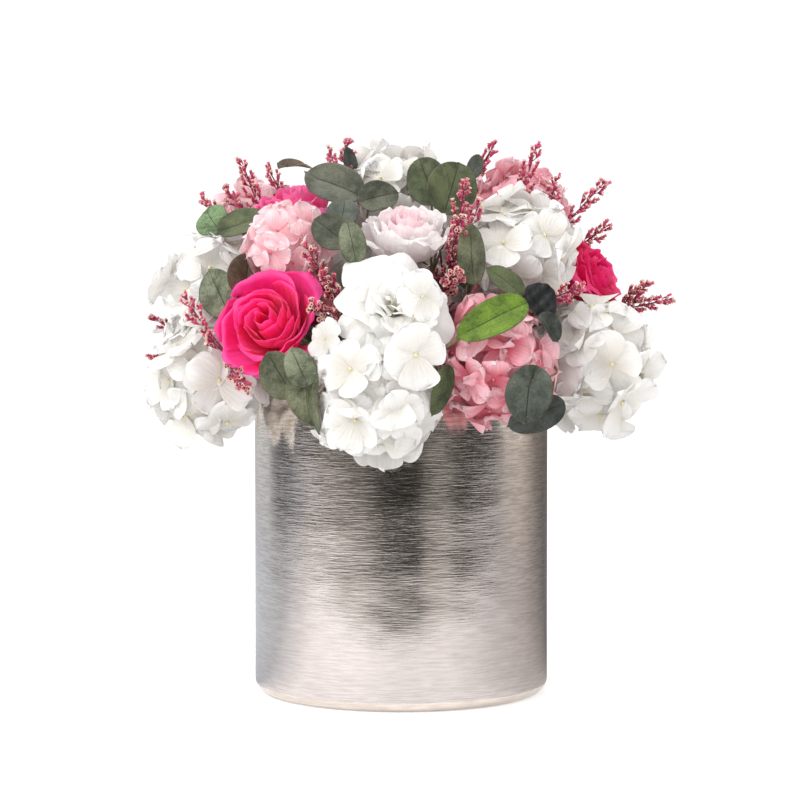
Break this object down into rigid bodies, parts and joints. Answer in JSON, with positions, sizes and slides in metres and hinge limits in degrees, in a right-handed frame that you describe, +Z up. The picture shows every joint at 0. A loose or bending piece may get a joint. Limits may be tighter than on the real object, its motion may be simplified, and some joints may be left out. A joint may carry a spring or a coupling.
{
  "type": "preserved flower arrangement in a cylinder vase",
  "caption": "Domed arrangement of preserved roses, hydrangeas, eucalyptus leaves and sea-lavender sprays in a round brushed metal vase.",
  "frame": {"origin": "centre of the vase's flat underside", "axes": "+Z up along the vase's axis, -Y towards the side the picture shows"},
  "size_m": [0.2806, 0.265, 0.3007],
  "materials": {
    "vase_metal": "brushed",
    "foam": "matte",
    "petal_white": "soft matte petal",
    "petal_hot_pink": "soft matte petal",
    "petal_rose_pink": "soft matte petal",
    "petal_pale_pink": "soft matte petal",
    "petal_pink": "soft matte petal",
    "calyx": "matte",
    "leaf": "satin leaf",
    "leaf_bright": "satin leaf",
    "leaf_dark": "satin leaf",
    "spray": "matte"
  },
  "bodies": {
    "root": {"calyx_hot_pink_back": "calyx", "calyx_hot_pink_left": "calyx", "calyx_hot_pink_right": "calyx", "calyx_pale_pink_back": "calyx", "calyx_pale_pink_top": "calyx", "calyx_pink_upper_left": "calyx", "calyx_white_front": "calyx", "eucalyptus_back_left": "leaf", "eucalyptus_back_right": "leaf", "eucalyptus_bright": "leaf_bright", "eucalyptus_centre_left": "leaf", "eucalyptus_centre_right": "leaf", "eucalyptus_front_low": "leaf", "eucalyptus_front_right": "leaf", "eucalyptus_left_front": "leaf", "eucalyptus_left_top": "leaf", "eucalyptus_right_dark": "leaf_dark", "eucalyptus_right_low": "leaf", "eucalyptus_right_side": "leaf", "eucalyptus_top_left": "leaf", "eucalyptus_top_right": "leaf", "foam": "foam", "hydrangea_pink_back": "petal_pink", "hydrangea_pink_left_back": "petal_pink", "hydrangea_pink_right_low": "petal_pink", "hydrangea_pink_upper_left": "petal_pink", "hydrangea_pink_upper_right": "petal_pink", "hydrangea_white_back_left": "petal_white", "hydrangea_white_back_low": "petal_white", "hydrangea_white_back_right": "petal_white", "hydrangea_white_back_upper": "petal_white", "hydrangea_white_front_low": "petal_white", "hydrangea_white_left_back": "petal_white", "hydrangea_white_left_lower": "petal_white", "hydrangea_white_left_upper": "petal_white", "hydrangea_white_right_lower": "petal_white", "hydrangea_white_right_upper": "petal_white", "hydrangea_white_top": "petal_white", "rose_hot_pink_back": "petal_hot_pink", "rose_hot_pink_left": "petal_hot_pink", "rose_hot_pink_right": "petal_hot_pink", "rose_pale_pink_back": "petal_pale_pink", "rose_pale_pink_top": "petal_pale_pink", "rose_pink_upper_left": "petal_rose_pink", "rose_white_front": "petal_white", "spray_back": "spray", "spray_back_left": "spray", "spray_back_right": "spray", "spray_centre_left": "spray", "spray_centre_right": "spray", "spray_far_left": "spray", "spray_front_right": "spray", "spray_left_front": "spray", "spray_right": "spray", "spray_top": "spray", "spray_top_back": "spray", "spray_top_left": "spray", "spray_top_right": "spray", "vase": "vase_metal"}
  },
  "joints": []
}
